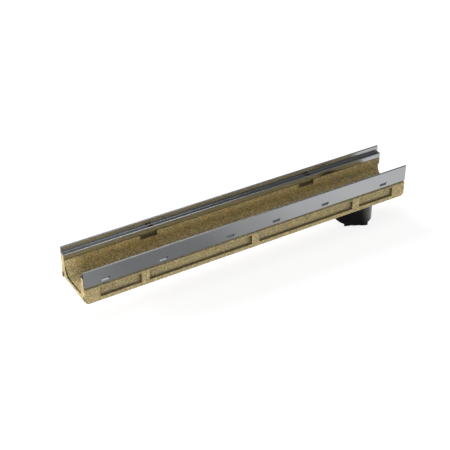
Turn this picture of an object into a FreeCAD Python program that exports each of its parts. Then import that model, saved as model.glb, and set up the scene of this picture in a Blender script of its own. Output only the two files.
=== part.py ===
"""Channel drain: a polymer concrete trough with two cast-in steel edge rails and a vertical outlet.

Frame: X along the channel, Y across it, Z up.  The origin is the centre of the flat underside of
the trough.  The outlet spigot hangs below the underside, near the +X end.
"""
import FreeCAD, Part
import math
import os
import Sketcher

V = FreeCAD.Vector

doc = FreeCAD.newDocument("channel_drain")

# ------------------------------------------------------------ driving dimensions, in millimetres
SIZES = [
    ("overall_length", 1000, "end to end"),
    ("overall_width", 137, "outer face to outer face of the rail skirts"),
    ("overall_height", 98, "underside of the trough to the top of the rails"),
    ("floor_thickness", 15.5, "underside to trough floor"),
    ("floor_radius", 20, "fillet between trough floor and wall"),
    ("end_chamfer", 7.5, "bevel on the bottom edge of each end"),
    ("sheet_thickness", 2.5, "steel of the edge rails"),
    ("hem_gap", 0.5, "gap inside the folded top hem"),
    ("bend_radius", 1, "inside radius of the rail bends"),
    ("skirt_height", 48, "outer skirt of the rail, from the hem down"),
    ("seat_depth", 18, "rail top down to the grating seat"),
    ("seat_width", 13, "width of the grating seat"),
    ("lip_depth", 14, "inner lip, from the seat down"),
    ("drip_groove", 2, "height of the groove in the wall under the lip"),
    ("neck_depth", 5.5, "set-back of the concrete below the skirt"),
    ("neck_height", 2.5, "upright part of that set-back"),
    ("shoulder_rise", 5.5, "height of the sloping shoulder under the neck"),
    ("rib_width", 23, "upright rib between two side recesses"),
    ("rib_pitch", 330, "distance between rib centres"),
    ("end_block", 43, "full-width block at each end"),
    ("recess_depth", 7, "depth of the side recesses"),
    ("base_rail_height", 11, "solid edge below the recesses"),
    ("recess_margin", 2.5, "outer face left above the recesses"),
    ("catch_pitch", 500, "distance between the two catch positions"),
    ("catch_slot_length", 17, "slot in the grating seat, along the rail"),
    ("catch_slot_width", 7, "slot in the grating seat, across the rail"),
    ("catch_pocket_length", 50, "pocket in the wall under the lip"),
    ("catch_pocket_height", 16, "pocket in the wall under the lip"),
    ("catch_pocket_shift", 8, "pocket centre towards -X from its slot"),
    ("anchor_length", 22, "window punched in the skirt"),
    ("anchor_height", 8, "window punched in the skirt"),
    ("anchor_sill", 6, "skirt edge up to the windows"),
    ("anchor_reach", 5.5, "how far an anchor tongue leans into the concrete"),
    ("anchor_kerf", 0.5, "gap beside an anchor tongue"),
    ("anchor_relief", 2.5, "square relief at the upper corner of a window"),
    ("seal_edge", 1.5, "land between the -X end and the sealing groove"),
    ("seal_width", 3.5, "width of the sealing groove"),
    ("seal_depth", 4.5, "depth of the sealing groove and of the socket step"),
    ("seal_height", 44, "underside to the top of groove and step"),
    ("socket_length", 4, "step cut into the +X end"),
    ("key_inset", 6.5, "outer face to the middle of a locating key"),
    ("key_width", 6, "locating key on an end face"),
    ("key_height", 12, "locating key on an end face"),
    ("key_length", 3, "how far a key stands out"),
    ("key_clearance", 0.5, "keyway larger than the key, on each side"),
    ("key_sill", 8.5, "underside up to a key"),
    ("outlet_from_end", 125, "outlet centre from the +X end"),
    ("outlet_diameter", 110, "outside of the spigot"),
    ("outlet_wall", 4, "wall of the spigot"),
    ("outlet_drop", 67, "spigot length below the underside"),
    ("outlet_bevel", 2, "bevel at the lower rim"),
    ("outlet_socket", 8, "height of the spigot cast into the floor"),
    ("collar_width", 4, "collar round that cast-in part"),
    ("floor_hole_diameter", 78, "opening in the trough floor"),
    ("long_tooth_drop", 11, "deep end of a long tooth, below the rim"),
    ("long_tooth_angle", 38, "degrees of rim taken by a long tooth"),
    ("long_tooth_bearing", -87, "degrees from +X to the first long tooth"),
    ("short_tooth_drop", 7.5, "deep end of a short tooth, below the rim"),
    ("short_tooth_angle", 22, "degrees of rim taken by a short tooth"),
    ("short_tooth_bearing", -141, "degrees from +X to the first short tooth"),
    ("anchor_first_one", 59, "rail's first end to a window centre"),
    ("anchor_first_two", 222, "rail's first end to the next window"),
    ("anchor_first_three", 421, "rail's first end to the window before the middle"),
    ("anchor_last_three", 436, "rail's last end to the window after the middle"),
    ("anchor_last_two", 277, "rail's last end to the next window"),
    ("anchor_last_one", 79, "rail's last end to a window centre"),
]

sheet = doc.addObject("Spreadsheet::Sheet", "Sizes")
for row, (alias, value, note) in enumerate(SIZES, start=1):
    sheet.set(f"A{row}", alias)
    sheet.set(f"B{row}", str(value))
    sheet.set(f"C{row}", note)
    sheet.setAlias(f"B{row}", alias)
doc.recompute()


class Size:
    """A length that carries both its number and the sheet expression behind it."""

    def __init__(self, value, text=None):
        self.value = float(value)
        self.text = text or f"({self.value})"

    def _join(self, other, sign, value):
        return Size(value, f"({self.text} {sign} {other.text})")

    def __add__(self, other):
        other = other if isinstance(other, Size) else Size(other)
        return self._join(other, "+", self.value + other.value)

    def __sub__(self, other):
        other = other if isinstance(other, Size) else Size(other)
        return self._join(other, "-", self.value - other.value)

    def __mul__(self, other):
        other = other if isinstance(other, Size) else Size(other)
        return self._join(other, "*", self.value * other.value)

    def __truediv__(self, other):
        other = other if isinstance(other, Size) else Size(other)
        return self._join(other, "/", self.value / other.value)

    def __neg__(self):
        return self * -1


def cell(alias):
    """The size held in the sheet cell with this alias."""
    return Size(sheet.get(alias), f"Sizes.{alias}")


def sine(angle):
    """The sine of an angle in degrees, as a size."""
    return Size(math.sin(math.radians(angle.value)), f"sin({angle.text})")


# ------------------------------------------------------------------ places shared by the pieces
ZERO = Size(0)
HALF_LENGTH = cell("overall_length") / 2
HALF_WIDTH = cell("overall_width") / 2
TOP = cell("overall_height")
SHEET = cell("sheet_thickness")
FLOOR = cell("floor_thickness")
FLOOR_RADIUS = cell("floor_radius")

HEM_WIDTH = SHEET * 2 + cell("hem_gap")
SKIRT_BOTTOM = TOP - cell("skirt_height")
SEAT = TOP - cell("seat_depth")
SEAT_UNDER = SEAT - SHEET
LIP_BOTTOM = SEAT - cell("lip_depth")
LIP_INSET = HEM_WIDTH + cell("seat_width")
WALL = HALF_WIDTH - LIP_INSET
GROOVE_BOTTOM = LIP_BOTTOM - cell("drip_groove")

NECK_BOTTOM = SKIRT_BOTTOM - cell("neck_height")
SHOULDER = NECK_BOTTOM - cell("shoulder_rise")

WINDOW_SILL = SKIRT_BOTTOM + cell("anchor_sill")
WINDOW_TOP = WINDOW_SILL + cell("anchor_height")
REACH = cell("anchor_reach")
# A tongue leans at 45 degrees, so its thickness measures this much across and this much down.
TONGUE_STEP = SHEET * (0.5 ** 0.5)

SLOT_INSET = HEM_WIDTH + cell("seat_width") / 2
SLOT_MIDDLE = HALF_WIDTH - SLOT_INSET

OUTLET_X = HALF_LENGTH - cell("outlet_from_end")
OUTLET_RADIUS = cell("outlet_diameter") / 2
OUTLET_BORE = OUTLET_RADIUS - cell("outlet_wall")
OUTLET_RIM = -cell("outlet_drop")
TOOTH_RADIUS = OUTLET_RADIUS - cell("outlet_bevel")
COLLAR_RADIUS = OUTLET_RADIUS + cell("collar_width")
COLLAR_TOP = cell("outlet_socket")

ANCHOR_STATIONS = (
    [cell(f"anchor_first_{word}") for word in ("one", "two", "three")]
    + [HALF_LENGTH * 2 - cell(f"anchor_last_{word}") for word in ("three", "two", "one")]
)
CATCH_STATIONS = [-cell("catch_pitch") / 2, cell("catch_pitch") / 2]


# ----------------------------------------------------------------------------- sketching helpers
def add_body(name):
    body = doc.addObject("PartDesign::Body", name)
    body.Label = name
    return body


def add_sketch(body, name, role, level=ZERO, shift=ZERO, turn=None):
    """A sketch on one origin plane, moved along the plane's normal and along its own x axis."""
    plane = [item for item in body.Origin.OriginFeatures if item.Role == role][0]
    sketch = body.newObject("Sketcher::SketchObject", name)
    sketch.AttachmentSupport = [(plane, "")]
    sketch.MapMode = "FlatFace"
    spin = FreeCAD.Rotation()
    if turn is not None:
        spin = FreeCAD.Rotation(V(0, 1, 0), turn.value)
    sketch.AttachmentOffset = FreeCAD.Placement(V(shift.value, 0, level.value), spin)
    sketch.setExpression("AttachmentOffset.Base.x", shift.text)
    sketch.setExpression("AttachmentOffset.Base.z", level.text)
    if turn is not None:
        sketch.setExpression("AttachmentOffset.Rotation.Angle", turn.text)
    return sketch


def fix(sketch, kind, geometry, position, distance):
    """Hold one coordinate of a point at a distance that the sheet gives."""
    index = sketch.addConstraint(
        Sketcher.Constraint(kind, -1, 1, geometry, position, distance.value)
    )
    sketch.setExpression(f"Constraints[{index}]", distance.text)


def draw_outline(sketch, corners):
    """A closed outline through corners (x, y).  A corner (x, y, centre) starts an arc."""
    edges = []
    for here, after in zip(corners, corners[1:] + corners[:1]):
        start = V(here[0].value, here[1].value, 0)
        end = V(after[0].value, after[1].value, 0)
        if len(here) == 2:
            edges.append((sketch.addGeometry(Part.LineSegment(start, end)), 1, 2))
            continue
        centre = V(here[2][0].value, here[2][1].value, 0)
        through = here[3] if len(here) == 4 else (start + end) / 2 - centre
        middle = centre + through.normalize() * (start - centre).Length
        number = sketch.addGeometry(Part.Arc(start, middle, end))
        forward = sketch.getPoint(number, 1).isEqual(start, 1e-6)
        edges.append((number, 1, 2) if forward else (number, 2, 1))
    for (edge, _, tail), (following, head, _) in zip(edges, edges[1:] + edges[:1]):
        sketch.addConstraint(Sketcher.Constraint("Coincident", edge, tail, following, head))
    for (edge, head, _), corner in zip(edges, corners):
        fix(sketch, "DistanceX", edge, head, corner[0])
        fix(sketch, "DistanceY", edge, head, corner[1])
        if len(corner) > 2:
            fix(sketch, "DistanceY", edge, 3, corner[2][1])


def draw_box(sketch, left, right, low, high):
    draw_outline(sketch, [(left, low), (right, low), (right, high), (left, high)])


def extrude(body, name, sketch, length, reverse=False):
    """Pad a sketch along its normal, or against it."""
    feature = body.newObject("PartDesign::Pad", name)
    feature.Profile = sketch
    feature.Length = length.value
    feature.setExpression("Length", length.text)
    feature.Reversed = reverse
    doc.recompute()
    return feature


def check_removed(body, feature, before):
    """A cut that misses the solid leaves its volume alone, which is always a mistake here."""
    if not feature.Shape.Volume < before - 1e-3:
        raise RuntimeError(f"{feature.Name} removes nothing from {body.Name}")


def cut(body, name, sketch, length):
    """Pocket a sketch to a depth, against its normal."""
    before = body.Tip.Shape.Volume
    feature = body.newObject("PartDesign::Pocket", name)
    feature.Profile = sketch
    feature.Length = length.value
    feature.setExpression("Length", length.text)
    doc.recompute()
    check_removed(body, feature, before)
    return feature


def mirror_across(body, name, originals):
    """Repeat features on the other side of the channel's middle plane."""
    before = body.Tip.Shape.Volume
    plane = [item for item in body.Origin.OriginFeatures if item.Role == "XZ_Plane"][0]
    feature = body.newObject("PartDesign::Mirrored", name)
    feature.Originals = originals
    feature.MirrorPlane = (plane, [""])
    body.Tip = feature
    doc.recompute()
    check_removed(body, feature, before)
    return feature


# ------------------------------------------------------------------------------- trough of concrete
def trough_section():
    """Corners of the whole cross-section, from the +Y foot over the top to the -Y foot."""
    lip_back = WALL + SHEET
    bend = cell("bend_radius")
    neck = HALF_WIDTH - cell("neck_depth")
    half = [
        (HALF_WIDTH, ZERO),
        (HALF_WIDTH, SHOULDER),
        (neck, NECK_BOTTOM),
        (neck, SKIRT_BOTTOM),
        (HALF_WIDTH - SHEET, SKIRT_BOTTOM),
        (HALF_WIDTH - SHEET, SEAT_UNDER),
        (lip_back + bend, SEAT_UNDER, (lip_back + bend, SEAT_UNDER - bend)),
        (lip_back, SEAT_UNDER - bend),
        (lip_back, GROOVE_BOTTOM),
        (WALL, GROOVE_BOTTOM),
        (WALL, FLOOR + FLOOR_RADIUS, (WALL - FLOOR_RADIUS, FLOOR + FLOOR_RADIUS)),
        (WALL - FLOOR_RADIUS, FLOOR),
    ]
    other = []
    for index, corner in enumerate(reversed(half)):
        mirrored = (-corner[0], corner[1])
        source = len(half) - 2 - index
        if source >= 0 and len(half[source]) == 3:
            centre = half[source][2]
            mirrored += ((-centre[0], centre[1]),)
        other.append(mirrored)
    return half + other


def seal_outline(sketch):
    """The trough section grown by the seal depth, which closes above the groove's ends."""
    wall = WALL + cell("seal_depth")
    floor = FLOOR - cell("seal_depth")
    centre_y = WALL - FLOOR_RADIUS
    centre_z = FLOOR + FLOOR_RADIUS
    high = cell("seal_height")
    draw_outline(sketch, [
        (wall, high),
        (wall, centre_z, (centre_y, centre_z)),
        (centre_y, floor),
        (-centre_y, floor, (-centre_y, centre_z)),
        (-wall, centre_z),
        (-wall, high),
    ])


def recess_spans():
    """Ends of the four side recesses along X."""
    half_rib = cell("rib_width") / 2
    pitch = cell("rib_pitch")
    outer = HALF_LENGTH - cell("end_block")
    return [
        (-outer, -pitch - half_rib),
        (-pitch + half_rib, -half_rib),
        (half_rib, pitch - half_rib),
        (pitch + half_rib, outer),
    ]


def cut_sides(body):
    """Four recesses in each long side, between ribs, blocks and the base rail."""
    sketch = add_sketch(body, "side_recess_outline", "XZ_Plane", HALF_WIDTH)
    for left, right in recess_spans():
        draw_box(sketch, left, right, cell("base_rail_height"), SHOULDER - cell("recess_margin"))
    recesses = cut(body, "side_recesses", sketch, cell("recess_depth"))
    mirror_across(body, "side_recesses_far", [recesses])


def cut_catches(body):
    """Wall pockets under the lip, each with a shaft up to its slot in the grating seat."""
    half_pocket = cell("catch_pocket_length") / 2
    sketch = add_sketch(body, "catch_pocket_outline", "XZ_Plane", -WALL)
    for station in CATCH_STATIONS:
        middle = station - cell("catch_pocket_shift")
        low = LIP_BOTTOM - cell("catch_pocket_height")
        draw_box(sketch, middle - half_pocket, middle + half_pocket, low, LIP_BOTTOM)
    depth = SLOT_MIDDLE + cell("catch_slot_width") / 2 - WALL
    pockets = cut(body, "catch_pockets", sketch, depth)

    sketch = add_sketch(body, "catch_shaft_outline", "XY_Plane", SEAT_UNDER)
    for station in CATCH_STATIONS:
        draw_slot(sketch, station, SLOT_MIDDLE)
    shafts = cut(body, "catch_shafts", sketch, SEAT_UNDER - LIP_BOTTOM)
    mirror_across(body, "catches_near", [pockets, shafts])


def draw_slot(sketch, x_middle, y_middle):
    half_length = cell("catch_slot_length") / 2
    half_width = cell("catch_slot_width") / 2
    draw_box(sketch, x_middle - half_length, x_middle + half_length,
             y_middle - half_width, y_middle + half_width)


def cut_end_bevels(body):
    """Bevels along the bottom edge of both ends."""
    bevel = cell("end_chamfer")
    sketch = add_sketch(body, "end_bevel_outline", "XZ_Plane", HALF_WIDTH)
    for side in (1, -1):
        end = HALF_LENGTH * side
        draw_outline(sketch, [(end, ZERO), (end, bevel), (end - bevel * side, ZERO)])
    cut(body, "end_bevels", sketch, cell("overall_width"))


def draw_key(sketch, side, margin):
    """Outline of a key, or of a keyway when a margin is given, on the +Y or the -Y side."""
    middle = (HALF_WIDTH - cell("key_inset")) * side
    half = cell("key_width") / 2 + margin
    low = cell("key_sill") - margin
    high = cell("key_sill") + cell("key_height") + margin
    draw_box(sketch, middle - half, middle + half, low, high)


def shape_ends(body):
    """Sealing groove and socket step, with a key and a keyway on each end."""
    clearance = cell("key_clearance")
    groove_end = -HALF_LENGTH + cell("seal_edge") + cell("seal_width")
    sketch = add_sketch(body, "seal_groove_outline", "YZ_Plane", groove_end)
    seal_outline(sketch)
    cut(body, "seal_groove", sketch, cell("seal_width"))

    sketch = add_sketch(body, "socket_outline", "YZ_Plane", HALF_LENGTH)
    seal_outline(sketch)
    cut(body, "socket_step", sketch, cell("socket_length"))

    keyway_depth = cell("key_length") + clearance
    sketch = add_sketch(body, "keyway_left_outline", "YZ_Plane", -HALF_LENGTH + keyway_depth)
    draw_key(sketch, -1, clearance)
    cut(body, "keyway_left", sketch, keyway_depth)
    sketch = add_sketch(body, "keyway_right_outline", "YZ_Plane", HALF_LENGTH)
    draw_key(sketch, 1, clearance)
    cut(body, "keyway_right", sketch, keyway_depth)

    sketch = add_sketch(body, "key_left_outline", "YZ_Plane", -HALF_LENGTH)
    draw_key(sketch, 1, ZERO)
    extrude(body, "key_left", sketch, cell("key_length"), reverse=True)
    sketch = add_sketch(body, "key_right_outline", "YZ_Plane", HALF_LENGTH)
    draw_key(sketch, -1, ZERO)
    extrude(body, "key_right", sketch, cell("key_length"))


def cut_outlet_seat(body):
    """Hole through the floor, with the counterbore that the spigot's collar fills."""
    sketch = add_sketch(body, "outlet_seat_outline", "XZ_Plane", shift=OUTLET_X)
    hole = cell("floor_hole_diameter") / 2
    draw_outline(sketch, [
        (ZERO, ZERO),
        (COLLAR_RADIUS, ZERO),
        (COLLAR_RADIUS, COLLAR_TOP),
        (hole, COLLAR_TOP),
        (hole, FLOOR + FLOOR_RADIUS),
        (ZERO, FLOOR + FLOOR_RADIUS),
    ])
    before = body.Tip.Shape.Volume
    groove = body.newObject("PartDesign::Groove", "outlet_seat")
    groove.Profile = sketch
    groove.ReferenceAxis = (sketch, ["V_Axis"])
    groove.Angle = 360
    doc.recompute()
    check_removed(body, groove, before)


def anchor_x(station, side):
    """Both rails are the same piece, so the +Y one is turned end for end."""
    return HALF_LENGTH - station if side > 0 else station - HALF_LENGTH


def cut_anchor_beds(body, side):
    """Wedge-shaped beds that hold the anchor tongues of one rail."""
    half = cell("anchor_length") / 2

    def across(inset):
        return (HALF_WIDTH - inset) * side

    bed = [
        (across(SHEET), WINDOW_SILL - TONGUE_STEP * 2 + SHEET),
        (across(REACH + TONGUE_STEP), WINDOW_SILL + REACH - TONGUE_STEP),
        (across(REACH), WINDOW_SILL + REACH),
        (across(REACH), WINDOW_TOP),
        (across(SHEET), WINDOW_TOP),
    ]
    for number, station in enumerate(ANCHOR_STATIONS, start=1):
        tag = f"{'far' if side > 0 else 'near'}_{number}"
        end = anchor_x(station, side) + half
        sketch = add_sketch(body, f"anchor_bed_outline_{tag}", "YZ_Plane", end)
        draw_outline(sketch, bed)
        cut(body, f"anchor_bed_{tag}", sketch, cell("anchor_length"))


def build_trough():
    body = add_body("channel_body")
    sketch = add_sketch(body, "trough_section", "YZ_Plane", -HALF_LENGTH)
    draw_outline(sketch, trough_section())
    extrude(body, "trough", sketch, cell("overall_length"))
    cut_end_bevels(body)
    cut_sides(body)
    cut_catches(body)
    shape_ends(body)
    cut_outlet_seat(body)
    cut_anchor_beds(body, -1)
    cut_anchor_beds(body, 1)
    return body


# ------------------------------------------------------------------------------ folded edge rails
def rail_section(side):
    """Corners of the folded sheet: skirt, hem, upstand, grating seat and lip."""
    hem_centre_inset = HEM_WIDTH / 2
    hem_level = TOP - hem_centre_inset
    inside = cell("bend_radius")
    outside = inside + SHEET
    upstand_back = SHEET + cell("hem_gap")
    up = V(0, 1, 0)

    def at(inset, level):
        return ((HALF_WIDTH - inset) * side, level)

    def arc(inset, level, centre_inset, centre_level, through=None):
        corner = at(inset, level) + (at(centre_inset, centre_level),)
        return corner + (V(through),) if through else corner

    foot = (HEM_WIDTH + inside, SEAT + inside)
    edge = (LIP_INSET - outside, SEAT - outside)
    return [
        at(ZERO, SKIRT_BOTTOM),
        arc(ZERO, hem_level, hem_centre_inset, hem_level, up),
        at(HEM_WIDTH, hem_level),
        arc(HEM_WIDTH, SEAT + inside, *foot),
        at(HEM_WIDTH + inside, SEAT),
        arc(LIP_INSET - outside, SEAT, *edge),
        at(LIP_INSET, SEAT - outside),
        at(LIP_INSET, LIP_BOTTOM),
        at(LIP_INSET - SHEET, LIP_BOTTOM),
        arc(LIP_INSET - SHEET, SEAT - outside, *edge),
        at(LIP_INSET - outside, SEAT_UNDER),
        arc(HEM_WIDTH + inside, SEAT_UNDER, *foot),
        at(upstand_back, SEAT + inside),
        arc(upstand_back, hem_level, hem_centre_inset, hem_level, up),
        at(SHEET, hem_level),
        at(SHEET, SKIRT_BOTTOM),
    ]


def build_rail(name, side):
    """One edge rail, on the +Y side for side 1 and on the -Y side for side -1."""
    body = add_body(name)
    sketch = add_sketch(body, f"{name}_section", "YZ_Plane", -HALF_LENGTH)
    draw_outline(sketch, rail_section(side))
    extrude(body, f"{name}_sheet", sketch, cell("overall_length"))

    sketch = add_sketch(body, f"{name}_slot_outline", "XY_Plane", SEAT)
    for station in CATCH_STATIONS:
        draw_slot(sketch, station, SLOT_MIDDLE * side)
    cut(body, f"{name}_slots", sketch, SHEET)

    half = cell("anchor_length") / 2
    relief = cell("anchor_relief")
    skirt_start = -HALF_WIDTH if side < 0 else HALF_WIDTH - SHEET
    sketch = add_sketch(body, f"{name}_window_outline", "XZ_Plane", -skirt_start)
    for station in ANCHOR_STATIONS:
        middle = anchor_x(station, side)
        relief_corner = middle - half * side
        draw_outline(sketch, [
            (middle + half * side, WINDOW_SILL),
            (relief_corner, WINDOW_SILL),
            (relief_corner, WINDOW_TOP - relief),
            (relief_corner - relief * side, WINDOW_TOP - relief),
            (relief_corner - relief * side, WINDOW_TOP),
            (middle + half * side, WINDOW_TOP),
        ])
    cut(body, f"{name}_windows", sketch, SHEET)

    kerf = cell("anchor_kerf")
    for number, station in enumerate(ANCHOR_STATIONS, start=1):
        start = anchor_x(station, side) - half + kerf
        sketch = add_sketch(body, f"{name}_tongue_outline_{number}", "YZ_Plane", start)
        draw_outline(sketch, [
            (HALF_WIDTH * side, WINDOW_SILL),
            ((HALF_WIDTH - REACH) * side, WINDOW_SILL + REACH),
            ((HALF_WIDTH - REACH - TONGUE_STEP) * side, WINDOW_SILL + REACH - TONGUE_STEP),
            ((HALF_WIDTH - TONGUE_STEP) * side, WINDOW_SILL - TONGUE_STEP),
        ])
        extrude(body, f"{name}_tongue_{number}", sketch, cell("anchor_length") - kerf * 2)
    return body


# ------------------------------------------------------------------------------------ outlet pipe
def revolve(body, name, sketch, angle):
    feature = body.newObject("PartDesign::Revolution", name)
    feature.Profile = sketch
    feature.ReferenceAxis = (sketch, ["V_Axis"])
    feature.Angle = angle.value
    feature.setExpression("Angle", angle.text)
    feature.Midplane = True
    doc.recompute()
    return feature


def add_tooth(body, kind, turn, deep_side):
    """One tooth under the rim, with a sloping foot that is deepest at one of its ends."""
    angle = cell(f"{kind}_tooth_angle")
    bearing = cell(f"{kind}_tooth_bearing") + turn
    drop = cell(f"{kind}_tooth_drop")
    tag = f"{kind}_tooth_{turn}"
    sketch = add_sketch(body, f"{tag}_section", "XZ_Plane", turn=bearing)
    top = OUTLET_RIM + cell("outlet_bevel")
    draw_box(sketch, OUTLET_BORE, TOOTH_RADIUS, OUTLET_RIM - drop, top)
    revolve(body, tag, sketch, angle)

    # The foot is cut along a straight line across the tooth, seen from outside the pipe.
    half_chord = TOOTH_RADIUS * sine(angle / 2)
    deep = half_chord * deep_side
    flush = -deep
    beyond = flush - SHEET * deep_side
    under = OUTLET_RIM - drop - SHEET
    sketch = add_sketch(body, f"{tag}_foot_outline", "XZ_Plane", turn=bearing - 90)
    draw_outline(sketch, [
        (flush, OUTLET_RIM),
        (deep, OUTLET_RIM - drop),
        (deep, under),
        (beyond, under),
        (beyond, OUTLET_RIM),
    ])
    cut(body, f"{tag}_foot", sketch, OUTLET_RADIUS)


def build_spigot():
    """Moulded outlet pipe: cast-in collar, bevelled lower rim and four teeth under the rim."""
    body = add_body("outlet_spigot")
    sketch = add_sketch(body, "spigot_section", "XZ_Plane")
    draw_outline(sketch, [
        (OUTLET_BORE, COLLAR_TOP),
        (COLLAR_RADIUS, COLLAR_TOP),
        (COLLAR_RADIUS, ZERO),
        (OUTLET_RADIUS, ZERO),
        (OUTLET_RADIUS, OUTLET_RIM + cell("outlet_bevel")),
        (TOOTH_RADIUS, OUTLET_RIM),
        (OUTLET_BORE, OUTLET_RIM),
    ])
    revolve(body, "spigot", sketch, Size(360))
    for turn in (0, 180):
        add_tooth(body, "long", turn, -1)
        add_tooth(body, "short", turn, 1)
    body.Placement = FreeCAD.Placement(V(OUTLET_X.value, 0, 0), FreeCAD.Rotation())
    body.setExpression("Placement.Base.x", OUTLET_X.text)
    return body


# ----------------------------------------------------------------------------------- build, write
pieces = [
    build_trough(),
    build_rail("near_rail", -1),
    build_rail("far_rail", 1),
    build_spigot(),
]
doc.recompute()

for item in doc.Objects:
    if "Invalid" in item.State or "Error" in item.State:
        raise RuntimeError(f"{item.Name} failed: {item.State}")

os.makedirs("parts", exist_ok=True)
for piece in pieces:
    shape = piece.Shape
    if shape.isNull() or not shape.isValid() or len(shape.Solids) != 1:
        raise RuntimeError(f"{piece.Label} is not one valid solid")
    shape.exportStep(f"parts/{piece.Label}.step")
    box = shape.BoundBox
    print(f"{piece.Label:14s} {shape.Volume / 1000:9.2f} cm3  "
          f"X {box.XMin:.1f}..{box.XMax:.1f}  Y {box.YMin:.1f}..{box.YMax:.1f}  "
          f"Z {box.ZMin:.1f}..{box.ZMax:.1f}")
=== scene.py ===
# %% [markdown]
# # Dressing a channel drain
# The drain is a long trough of polymer concrete with a folded steel rail
# along each top edge and a round outlet pipe under one end. Its four solids
# were made in CAD, in their real sizes. Here they get their finishes, a floor
# to be seen on, lamps and a camera. Every length is in metres.

# %% Load the four solids
import math
import bpy
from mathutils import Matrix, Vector


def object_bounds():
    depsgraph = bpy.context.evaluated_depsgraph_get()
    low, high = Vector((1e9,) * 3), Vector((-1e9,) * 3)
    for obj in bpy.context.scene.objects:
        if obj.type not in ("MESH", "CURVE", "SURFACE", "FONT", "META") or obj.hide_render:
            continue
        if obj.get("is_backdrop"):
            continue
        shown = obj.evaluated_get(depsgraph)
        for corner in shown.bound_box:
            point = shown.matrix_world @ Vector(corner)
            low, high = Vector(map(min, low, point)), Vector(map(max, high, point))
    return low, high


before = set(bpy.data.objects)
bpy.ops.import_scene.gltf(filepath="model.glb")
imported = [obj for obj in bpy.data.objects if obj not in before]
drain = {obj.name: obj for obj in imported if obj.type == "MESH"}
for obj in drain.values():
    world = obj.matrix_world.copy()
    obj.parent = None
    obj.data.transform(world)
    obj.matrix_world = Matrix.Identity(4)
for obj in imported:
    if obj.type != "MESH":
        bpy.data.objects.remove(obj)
cad_low, cad_high = (Vector(corner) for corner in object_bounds())
print("solids:", sorted(drain), "box:", tuple(cad_low), tuple(cad_high))

# %% [markdown]
# ## A helper for shader nodes
# A finish is a small network of nodes. Adding a node, setting its options and
# joining its sockets takes many lines, so one short function does all three.
# A socket that gets another node's output is linked, and any other value is
# written on the socket itself.


# %% Add a node
def add_node(tree, kind, sockets=None, **options):
    """Add one node, set its options, and fill or link its input sockets."""
    node = tree.nodes.new(kind)
    for option, value in options.items():
        setattr(node, option, value)
    for socket, value in (sockets or {}).items():
        if isinstance(value, bpy.types.NodeSocket):
            tree.links.new(value, node.inputs[socket])
        else:
            node.inputs[socket].default_value = value
    return node


print("add_node is ready")

# %% [markdown]
# ## Where a finish starts and ends
# Every finish starts from an empty material. Object coordinates give each
# texture its place, because they keep the pattern's real size and run on
# through every face. UV coordinates would need the mesh to be unwrapped first.


# %% Start a finish and end it
def start_finish(name):
    """Make an empty material; give back it, its tree and its coordinates."""
    material = bpy.data.materials.new(name)
    material.use_nodes = True
    tree = material.node_tree
    tree.nodes.clear()
    place = add_node(tree, "ShaderNodeTexCoord").outputs["Object"]
    return material, tree, place


def end_finish(tree, shader):
    """Join the shader to the material's output."""
    add_node(tree, "ShaderNodeOutputMaterial", {"Surface": shader.outputs[0]})


print("finishes can start and end")

# %% [markdown]
# ## Helpers for grey values
# Four kinds of node do most of the work in every finish. Noise gives soft
# random clouds, Map Range carries a value from one range to another, Math
# joins two values, and Bump turns a height into small dents that the light
# sees, while the mesh stays as it is.


# %% Noise, ranges, sums and dents
def add_noise(tree, place, scale, detail, roughness=0.5):
    """Soft random values around a place, from 0 to 1."""
    sockets = {
        "Vector": place,
        "Scale": scale,
        "Detail": detail,
        "Roughness": roughness,
    }
    return add_node(tree, "ShaderNodeTexNoise", sockets).outputs["Fac"]


def map_range(tree, value, source, target, easing="LINEAR"):
    """Carry a value from one range to another, held at both ends."""
    sockets = {
        "Value": value,
        "From Min": source[0],
        "From Max": source[1],
        "To Min": target[0],
        "To Max": target[1],
    }
    return add_node(
        tree, "ShaderNodeMapRange", sockets, interpolation_type=easing
    ).outputs["Result"]


def join_values(tree, operation, first, second):
    """One value from two, by a Math node."""
    return add_node(
        tree, "ShaderNodeMath", {0: first, 1: second}, operation=operation
    ).outputs[0]


def add_bump(tree, height, strength, depth):
    """Dents from a height; the depth is in metres."""
    sockets = {"Strength": strength, "Distance": depth, "Height": height}
    return add_node(tree, "ShaderNodeBump", sockets).outputs["Normal"]


print("value helpers ready")

# %% [markdown]
# ## Helpers for colours
# A Mix node has sockets for several kinds of value, so its colour sockets are
# named here by their number. A colour ramp gives a colour for every value
# from 0 to 1, in hard steps or eased from one stop to the next.

# %% Mix two colours, and fill a colour ramp
MIX_SHARE, MIX_FIRST, MIX_SECOND = 0, 6, 7
MIX_RESULT = 2


def mix_colours(tree, share, first, second, blend="MIX"):
    """A colour between two others; each value is a constant or an output."""
    return add_node(
        tree,
        "ShaderNodeMix",
        {MIX_SHARE: share, MIX_FIRST: first, MIX_SECOND: second},
        data_type="RGBA",
        blend_type=blend,
    ).outputs[MIX_RESULT]


def add_ramp(tree, value, stops, interpolation):
    """A colour ramp with its stops, read at a value."""
    node = add_node(tree, "ShaderNodeValToRGB", {"Fac": value})
    ramp = node.color_ramp
    ramp.interpolation = interpolation
    while len(ramp.elements) < len(stops):
        ramp.elements.new(0.5)
    for element, (position, colour) in zip(ramp.elements, stops):
        element.position = position
        element.color = colour
    return node.outputs["Color"]


print("colour helpers ready")

# %% [markdown]
# ## Polymer concrete
# The trough is cast from sand and small stones bound with resin. Its skin is
# matt and full of tiny grains: rust, slate, straw and dark brown. One noise
# could give spots, but spots of one colour look like dirt. So the resin, the
# sand and the stones each get their own colours and sizes.

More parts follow.
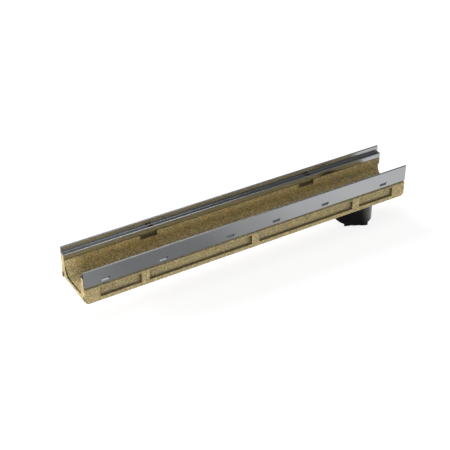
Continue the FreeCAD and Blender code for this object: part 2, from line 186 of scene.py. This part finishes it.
# %% Colours and sizes of the resin, the sand and the stones
RESIN_LIGHT = (0.545, 0.435, 0.200, 1.0)
RESIN_DARK = (0.445, 0.355, 0.160, 1.0)
STONE_KINDS = (
    (0.00, (0.480, 0.390, 0.180, 1.0)),
    (0.22, (0.620, 0.330, 0.110, 1.0)),
    (0.36, (0.240, 0.270, 0.270, 1.0)),
    (0.58, (0.900, 0.760, 0.340, 1.0)),
    (0.82, (0.130, 0.105, 0.050, 1.0)),
)
STONE_SIZE, STONE_SHARE = 0.0028, 0.84
SAND_SIZE, SAND_SHARE = 0.0017, 0.80
print("stones of", STONE_SIZE, "m and sand of", SAND_SIZE, "m")

# %% [markdown]
# ## Grains
# A Voronoi texture splits space into cells, and each cell can be one grain.
# The cell's random colour picks the kind of stone from a ramp with hard
# steps, and the distance from the cell's middle keeps the grain round. Two
# sizes of cell, one over the other, look more like a real mix than one does.

# %% Grains of one size over a colour
GRAIN_CORE, GRAIN_RIM = 0.40, 0.58


def add_grains(tree, place, size, share, under):
    """Lay round grains over a colour; give the new colour and their mask."""
    cells = add_node(
        tree,
        "ShaderNodeTexVoronoi",
        {"Vector": place, "Scale": 1.0 / size, "Randomness": 1.0},
        feature="F1",
    )
    pick = add_node(
        tree, "ShaderNodeSeparateColor", {"Color": cells.outputs["Color"]}
    )
    kind = add_ramp(tree, pick.outputs["Red"], STONE_KINDS, "CONSTANT")
    mask = map_range(
        tree, cells.outputs["Distance"], (GRAIN_CORE, GRAIN_RIM), (1.0, 0.0)
    )
    cover = join_values(tree, "MULTIPLY", mask, share)
    return mix_colours(tree, cover, under, kind), mask


print("grains are full up to", GRAIN_CORE, "and end at", GRAIN_RIM)

# %% [markdown]
# ## Painted shade in the concrete's hollows
# The side recesses, the groove at the end and the line under each rail are
# painted darker here, so the colour carries painted shade where shade falls.
# An Ambient Occlusion node measures how shut in a point is. It is used
# twice, with a wide reach for whole recesses and a tight one for the thin
# lines, and the painted shade multiplies the colour, so the grains still
# show in the dark places.

# %% Paint shade into the hollows
# The tone below is painted shade: the colour is multiplied by it where the surface is shut
# in.
PAINTED_SHADE_TONE = (0.250, 0.265, 0.300, 1.0)
PAINTED_SHADE_SAMPLES = 12
WIDE_PAINTED_SHADE = {"reach": 0.022, "deepest": 0.66, "share": 0.80}
TIGHT_PAINTED_SHADE = {"reach": 0.0045, "deepest": 0.62, "share": 0.52}


def paint_shade_in_hollows(tree, skin, reach, deepest, share):
    """Multiply a colour by the painted shade tone where the surface is shut in."""
    openness = add_node(
        tree,
        "ShaderNodeAmbientOcclusion",
        {"Distance": reach},
        samples=PAINTED_SHADE_SAMPLES,
    ).outputs["AO"]
    depth = map_range(tree, openness, (deepest, 1.0), (share, 0.0))
    return mix_colours(tree, depth, skin, PAINTED_SHADE_TONE, "MULTIPLY")


print("hollow reaches:", WIDE_PAINTED_SHADE["reach"], TIGHT_PAINTED_SHADE["reach"])

# %% [markdown]
# ## The trough's finish
# The layers go on in the order in which they are seen: cloudy resin, sand,
# stones and then the shade of the hollows. Fine noise and the sand's mask
# make the pores. The stones are worn a little smoother than the resin, so
# their mask also sets the roughness.

# %% Make the polymer concrete
RESIN_CLOUDS = {"scale": 26.0, "detail": 4.0, "roughness": 0.6}
PORES = {"scale": 900.0, "detail": 3.0, "roughness": 0.7}
PORE_STRENGTH, PORE_DEPTH = 0.55, 0.0003
RESIN_ROUGHNESS, STONE_ROUGHNESS = 0.88, 0.66
CONCRETE_SHEEN = 0.35


def make_polymer_concrete():
    """Matt sandy resin with small coloured stones."""
    material, tree, place = start_finish("polymer_concrete_finish")
    clouds = add_noise(tree, place, **RESIN_CLOUDS)
    skin = mix_colours(tree, clouds, RESIN_DARK, RESIN_LIGHT)
    skin, sand = add_grains(tree, place, SAND_SIZE, SAND_SHARE, skin)
    skin, stones = add_grains(tree, place, STONE_SIZE, STONE_SHARE, skin)
    # Painted shade in the recesses, the end groove and under the rails.
    for hollow in (WIDE_PAINTED_SHADE, TIGHT_PAINTED_SHADE):
        skin = paint_shade_in_hollows(tree, skin, **hollow)
    pores = add_noise(tree, place, **PORES)
    height = join_values(tree, "ADD", sand, pores)
    worn = (RESIN_ROUGHNESS, STONE_ROUGHNESS)
    sockets = {
        "Base Color": skin,
        "Roughness": map_range(tree, stones, (0.0, 1.0), worn),
        "Specular IOR Level": CONCRETE_SHEEN,
        "Normal": add_bump(tree, height, PORE_STRENGTH, PORE_DEPTH),
    }
    end_finish(tree, add_node(tree, "ShaderNodeBsdfPrincipled", sockets))
    return material


polymer_concrete = make_polymer_concrete()
print("made", polymer_concrete.name)

# %% [markdown]
# ## Sheet steel
# The rails are folded from thin zinc-coated sheet. Rolling leaves very fine
# lines along the sheet, and the zinc clouds a little. A noise texture that is
# stretched along the rail gives the lines. They change how sharp the
# reflections are, and hardly tilt them, because the long folds should mirror
# the lamps in straight, clean lines. A broad noise gives the zinc's clouds.

# %% Make the sheet steel
ZINC_LIGHT = (0.390, 0.398, 0.406, 1.0)
ZINC_DARK = (0.350, 0.358, 0.366, 1.0)
ZINC_CLOUDS = {"scale": 14.0, "detail": 3.0}
ROLLING_STRETCH = (3.0, 900.0, 900.0)
ROLLING_LINES = {"scale": 1.0, "detail": 2.0}
ROLLING_STRENGTH, ROLLING_DEPTH = 0.01, 0.00001
STEEL_ROUGHNESS = (0.17, 0.23)


def make_sheet_steel():
    """Smooth satin sheet with faint rolling lines along its length."""
    material, tree, place = start_finish("sheet_steel_finish")
    clouds = add_noise(tree, place, **ZINC_CLOUDS)
    along = add_node(
        tree, "ShaderNodeMapping", {"Vector": place, "Scale": ROLLING_STRETCH}
    )
    rolling = add_noise(tree, along.outputs["Vector"], **ROLLING_LINES)
    sockets = {
        "Base Color": mix_colours(tree, clouds, ZINC_DARK, ZINC_LIGHT),
        "Metallic": 1.0,
        "Roughness": map_range(tree, rolling, (0.0, 1.0), STEEL_ROUGHNESS),
        "Normal": add_bump(tree, rolling, ROLLING_STRENGTH, ROLLING_DEPTH),
    }
    end_finish(tree, add_node(tree, "ShaderNodeBsdfPrincipled", sockets))
    return material


sheet_steel = make_sheet_steel()
print("made", sheet_steel.name)

# %% [markdown]
# ## Moulded plastic
# The outlet is injection moulded in black polypropylene. It is smooth, with a
# very faint waviness from the mould, which a low, broad bump gives. The same
# noise varies the black and the gloss a little, so that the pipe doesn't look
# like one flat colour.

# %% Make the moulded plastic
MOULDED_BLACK = (0.003, 0.003, 0.004, 1.0)
MOULDED_GREY = (0.005, 0.005, 0.006, 1.0)
MOULD_WAVES = {"scale": 60.0, "detail": 2.0}
MOULD_WAVE_STRENGTH, MOULD_WAVE_DEPTH = 0.10, 0.0002
PLASTIC_ROUGHNESS = (0.20, 0.30)
PLASTIC_SHEEN = 0.40


def make_moulded_plastic():
    """Black smooth plastic with a faint waviness."""
    material, tree, place = start_finish("moulded_plastic_finish")
    waves = add_noise(tree, place, **MOULD_WAVES)
    sockets = {
        "Base Color": mix_colours(tree, waves, MOULDED_BLACK, MOULDED_GREY),
        "Roughness": map_range(tree, waves, (0.0, 1.0), PLASTIC_ROUGHNESS),
        "Specular IOR Level": PLASTIC_SHEEN,
        "Normal": add_bump(
            tree, waves, MOULD_WAVE_STRENGTH, MOULD_WAVE_DEPTH
        ),
    }
    end_finish(tree, add_node(tree, "ShaderNodeBsdfPrincipled", sockets))
    return material


moulded_plastic = make_moulded_plastic()
print("made", moulded_plastic.name)

# %% [markdown]
# ## Put each finish on its solid
# The solids come in with one plain material slot each. The new finish goes in
# that slot, and the mesh itself isn't touched.

# %% Give the solids their finishes
FINISHES = {
    "channel_body": polymer_concrete,
    "near_rail": sheet_steel,
    "far_rail": sheet_steel,
    "outlet_spigot": moulded_plastic,
}
for node_name, finish in FINISHES.items():
    for material_slot in drain[node_name].material_slots:
        material_slot.material = finish
    print(node_name, "is", finish.name)

# %% [markdown]
# ## White without more light
# The drain is shown on white. If the floor and the walls were really lit until
# they looked white, they would flood the drain with light. So they only glow
# for the rays that look at them: from the camera, by reflection or through
# something clear. Light Path knows which ray it is.


# %% Which rays see the white
def seen_directly(tree):
    """One where the camera, a reflection or a clear body looks at it."""
    ray = add_node(tree, "ShaderNodeLightPath").outputs
    seen = join_values(
        tree, "MAXIMUM", ray["Is Camera Ray"], ray["Is Glossy Ray"]
    )
    return join_values(tree, "MAXIMUM", seen, ray["Is Transmission Ray"])


print("ray helper ready")

# %% [markdown]
# ## The floor
# The drain stands on the teeth of its outlet, over a plain pale floor. One
# large square at the height of the lowest point is enough, and it reaches so
# far that its edge is never seen.

# %% A wide pale floor
FLOOR_REACH = 30.0
floor_mesh = bpy.data.meshes.new("studio_floor")
floor_mesh.from_pydata(
    [
        (x * FLOOR_REACH, y * FLOOR_REACH, cad_low.z)
        for x, y in ((-1, -1), (1, -1), (1, 1), (-1, 1))
    ],
    [],
    [(0, 1, 2, 3)],
)
floor = bpy.data.objects.new("studio_floor", floor_mesh)
bpy.context.scene.collection.objects.link(floor)
floor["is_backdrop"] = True
print("floor at height", round(cad_low.z, 4))

# %% [markdown]
# ## Painted shade in reflections
# The steel and the plastic mirror the floor. In a studio a dark card is laid
# beside a round black pipe, so that its front stays black and one side
# catches light. Here there is no card: the floor is painted darker in
# reflections, as painted shade for the drain's own shade beside it. The
# painted shade lies all along under the drain and ends below the outlet.

# %% How bright the floor's reflection is on and off the painted shade
# The painted shade darkens the floor in reflections to this tone; the two pairs below say
# where it fades out.
REFLECTION_SHADE_TONE = 0.10
REFLECTION_SHADE_END = (0.38, 0.46)  # along the drain, from full card to none
REFLECTION_SHADE_SIDE = (0.15, 0.21)  # to either side, from full card to none


def add_reflection_shade(tree, along, across):
    """The painted shade's tone on it, one off it, and soft edges between."""
    width = add_node(
        tree, "ShaderNodeMath", {0: across}, operation="ABSOLUTE"
    ).outputs[0]
    edges = [
        map_range(tree, value, edge, (REFLECTION_SHADE_TONE, 1.0), "SMOOTHSTEP")
        for value, edge in ((along, REFLECTION_SHADE_END), (width, REFLECTION_SHADE_SIDE))
    ]
    return join_values(tree, "MAXIMUM", *edges)


print("card ends at", REFLECTION_SHADE_END, "and", REFLECTION_SHADE_SIDE)

# %% [markdown]
# ## A painted pool of light
# An even white floor would make the steel skirts look like paper. So in
# reflections the floor is painted with a pool of light that fades towards one
# end, like the light of a studio's softbox, and the sheet shows a long change
# from dark to light.

# %% The pool of light that reflections see
POOL_HALF_LENGTH = 0.6
POOL = (
    (0.00, 0.70),
    (0.15, 0.55),
    (0.27, 0.42),
    (0.43, 0.42),
    (0.60, 0.72),
    (0.75, 1.00),
    (0.88, 1.12),
)


def add_pool(tree, place):
    """A painted glow that changes along the drain, dimmed by the painted shade."""
    parts = add_node(tree, "ShaderNodeSeparateXYZ", {"Vector": place}).outputs
    ends = (-POOL_HALF_LENGTH, POOL_HALF_LENGTH)
    along = map_range(tree, parts["X"], ends, (0.0, 1.0))
    stops = [(at, (light, light, light, 1.0)) for at, light in POOL]
    sockets = {
        "Color": add_ramp(tree, along, stops, "EASE"),
        "Strength": add_reflection_shade(tree, parts["X"], parts["Y"]),
    }
    return add_node(tree, "ShaderNodeEmission", sockets)


print("the pool has", len(POOL), "steps")

# %% [markdown]
# ## The floor's own glow
# To the camera the floor glows, and the light that it receives is added, so
# that it reads as white and keeps the drain's shadow. Far from the drain the
# lamps give less, and the glow makes up for it.

# %% Glow more where the lamps reach less
WHITE = (1.0, 1.0, 1.0, 1.0)
GLOW = (0.80, 0.93)
GLOW_REACH = (1.5, 5.0)


def add_floor_glow(tree, place):
    """A glow that grows with the distance from the drain."""
    reach = add_node(
        tree, "ShaderNodeVectorMath", {0: place}, operation="LENGTH"
    ).outputs["Value"]
    strength = map_range(tree, reach, GLOW_REACH, GLOW)
    sockets = {"Color": WHITE, "Strength": strength}
    return add_node(tree, "ShaderNodeEmission", sockets)


print("the floor glows from", GLOW[0], "to", GLOW[1])

# %% [markdown]
# ## The floor's paint
# Three paints share the floor. Light that bounces meets a plain grey paint,
# the camera sees a thinner one with the glow added, and reflections see the
# pool. Mix Shader nodes choose between them by the kind of ray.

# %% Choose the paint by the ray
FLOOR_PAINT = (0.45, 0.45, 0.45, 1.0)
FLOOR_THIN_PAINT = (0.33, 0.33, 0.33, 1.0)


def make_floor_paint():
    """Pale paint that reads as white to the camera."""
    material, tree, place = start_finish("studio_floor_paint")
    paint, thin_paint = (
        add_node(tree, "ShaderNodeBsdfDiffuse", {"Color": colour}).outputs[0]
        for colour in (FLOOR_PAINT, FLOOR_THIN_PAINT)
    )
    glow = add_floor_glow(tree, place).outputs[0]
    bright = add_node(tree, "ShaderNodeAddShader", {0: thin_paint, 1: glow})
    mirrored = add_node(tree, "ShaderNodeLightPath").outputs["Is Glossy Ray"]
    pool = add_pool(tree, place).outputs[0]
    bright_or_pool = add_node(
        tree,
        "ShaderNodeMixShader",
        {0: mirrored, 1: bright.outputs[0], 2: pool},
    )
    shader = add_node(
        tree,
        "ShaderNodeMixShader",
        {0: seen_directly(tree), 1: paint, 2: bright_or_pool.outputs[0]},
    )
    end_finish(tree, shader)
    return material


floor_mesh.materials.append(make_floor_paint())
print("painted", floor.name)

# %% [markdown]
# ## The room
# Even light from all sides comes from the world, which is plain and dim. It
# only keeps the shadows from going black, and the lamps do the rest.

# %% A dim, even room
ROOM_STRENGTH = 0.23
room = bpy.data.worlds.new("studio_room")
room.use_nodes = True
room_tree = room.node_tree
room_tree.nodes.clear()
room_light = add_node(
    room_tree,
    "ShaderNodeBackground",
    {"Color": WHITE, "Strength": ROOM_STRENGTH},
)
add_node(
    room_tree,
    "ShaderNodeOutputWorld",
    {"Surface": room_light.outputs[0]},
)
bpy.context.scene.world = room
print("room strength", ROOM_STRENGTH)

# %% [markdown]
# ## A curtain all round
# From low down the camera sees right across the floor, and the steel mirrors
# what lies beyond. A ring of white cloth stands on the floor all round, so
# that both end in white. It is a band of flat faces, enough to look round.

# %% A white curtain all round
CURTAIN_SIDES = 48
CURTAIN_REACH = 25.0
CURTAIN_HEIGHT = 7.0
steps = range(CURTAIN_SIDES)
turns = [math.tau * step / CURTAIN_SIDES for step in steps]
curtain_mesh = bpy.data.meshes.new("studio_curtain")
curtain_mesh.from_pydata(
    [
        (CURTAIN_REACH * math.cos(turn), CURTAIN_REACH * math.sin(turn), z)
        for z in (cad_low.z, cad_low.z + CURTAIN_HEIGHT)
        for turn in turns
    ],
    [],
    [
        (
            step,
            (step + 1) % CURTAIN_SIDES,
            (step + 1) % CURTAIN_SIDES + CURTAIN_SIDES,
            step + CURTAIN_SIDES,
        )
        for step in steps
    ],
)
curtain = bpy.data.objects.new("studio_curtain", curtain_mesh)
bpy.context.scene.collection.objects.link(curtain)
curtain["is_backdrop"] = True
print("curtain", CURTAIN_HEIGHT, "m high")

# %% [markdown]
# ## The curtain's cloth
# The cloth is white where it is looked at. Where it lights the drain it is as
# dim as the room behind it, so the light doesn't change with the curtain.


# %% White to look at, dim to be lit by
def make_curtain_cloth():
    """White where it is looked at, and as dim as the room elsewhere."""
    material, tree, _ = start_finish("studio_curtain_cloth")
    dim, white = (
        add_node(tree, "ShaderNodeEmission", {"Strength": strength})
        for strength in (ROOM_STRENGTH, 1.0)
    )
    shader = add_node(
        tree,
        "ShaderNodeMixShader",
        {0: seen_directly(tree), 1: dim.outputs[0], 2: white.outputs[0]},
    )
    end_finish(tree, shader)
    return material


curtain_mesh.materials.append(make_curtain_cloth())
print("dressed", curtain.name)

# %% [markdown]
# ## Hanging a lamp
# A lamp's place is easiest to think of as a direction and a distance from the
# drain, and it always faces the drain's middle. Square area lamps are used,
# because their size sets how soft the shadows are and how broad the shine is.

# %% Hang a lamp, from its direction and distance
middle = (cad_low + cad_high) / 2


def aim_from(azimuth, elevation, distance):
    """A place around the drain; the angles are in degrees, azimuth from +X."""
    turn, rise = math.radians(azimuth), math.radians(elevation)
    way = Vector(
        (
            math.cos(turn) * math.cos(rise),
            math.sin(turn) * math.cos(rise),
            math.sin(rise),
        )
    )
    return middle + way * distance


def hang_lamp(name, place, size, power):
    """Hang a square area lamp that faces the drain's middle; power in W."""
    lamp = bpy.data.lights.new(name, "AREA")
    lamp.shape = "SQUARE"
    lamp.size = size
    lamp.energy = power
    holder = bpy.data.objects.new(name, lamp)
    holder.location = place
    facing = middle - place
    holder.rotation_euler = facing.to_track_quat("-Z", "Y").to_euler()
    bpy.context.scene.collection.objects.link(holder)
    print(name, "at", [round(value, 2) for value in place])


print("the lamps face", [round(value, 3) for value in middle])

# %% [markdown]
# ## The five lamps
# Each lamp has its own job. The front lamp hangs low and far away: it lights
# the long side, and the near rail keeps it out of the trough. The end lamp is
# low too and picks out the cut end. The back lamp looks over the far rail and
# fills the trough's floor, which the inner lips mirror. The high lamp draws
# thin bright lines along the folds of the steel, and the top lamp gives the
# small tongues in the skirts their shine.

# %% Hang the five lamps
hang_lamp("end_lamp", aim_from(160, 12, 3.3), size=1.2, power=80.0)
hang_lamp("front_lamp", aim_from(-110, 14, 9.0), size=3.2, power=392.0)
hang_lamp("high_lamp", aim_from(-10, 73, 3.0), size=1.0, power=8.5)
hang_lamp("back_lamp", aim_from(108, 50, 4.0), size=1.6, power=94.0)
hang_lamp("top_lamp", aim_from(-78, 50, 4.0), size=1.7, power=9.0)

# %% [markdown]
# ## The camera
# The view is from the front left and well above, through a long lens, so the
# trough runs away to the right with little perspective. The Standard view
# shows the colours about as they were written.

# %% Set up the camera
CAMERA_PLACE = (-1.32467, -2.12385, 1.71253)
CAMERA_AZIMUTH = 30.879
CAMERA_ELEVATION = 33.931
CAMERA_LENS = 89.116
SENSOR_WIDTH = 36.0
lens = bpy.data.cameras.new("studio_camera")
lens.sensor_width = SENSOR_WIDTH
lens.lens = CAMERA_LENS
camera = bpy.data.objects.new("studio_camera", lens)
camera.location = CAMERA_PLACE
camera.rotation_euler = (
    math.radians(90.0 - CAMERA_ELEVATION),
    0.0,
    math.radians(-CAMERA_AZIMUTH),
)
bpy.context.scene.collection.objects.link(camera)
bpy.context.scene.camera = camera
bpy.context.scene.view_settings.view_transform = "Standard"
print("camera at", CAMERA_PLACE)
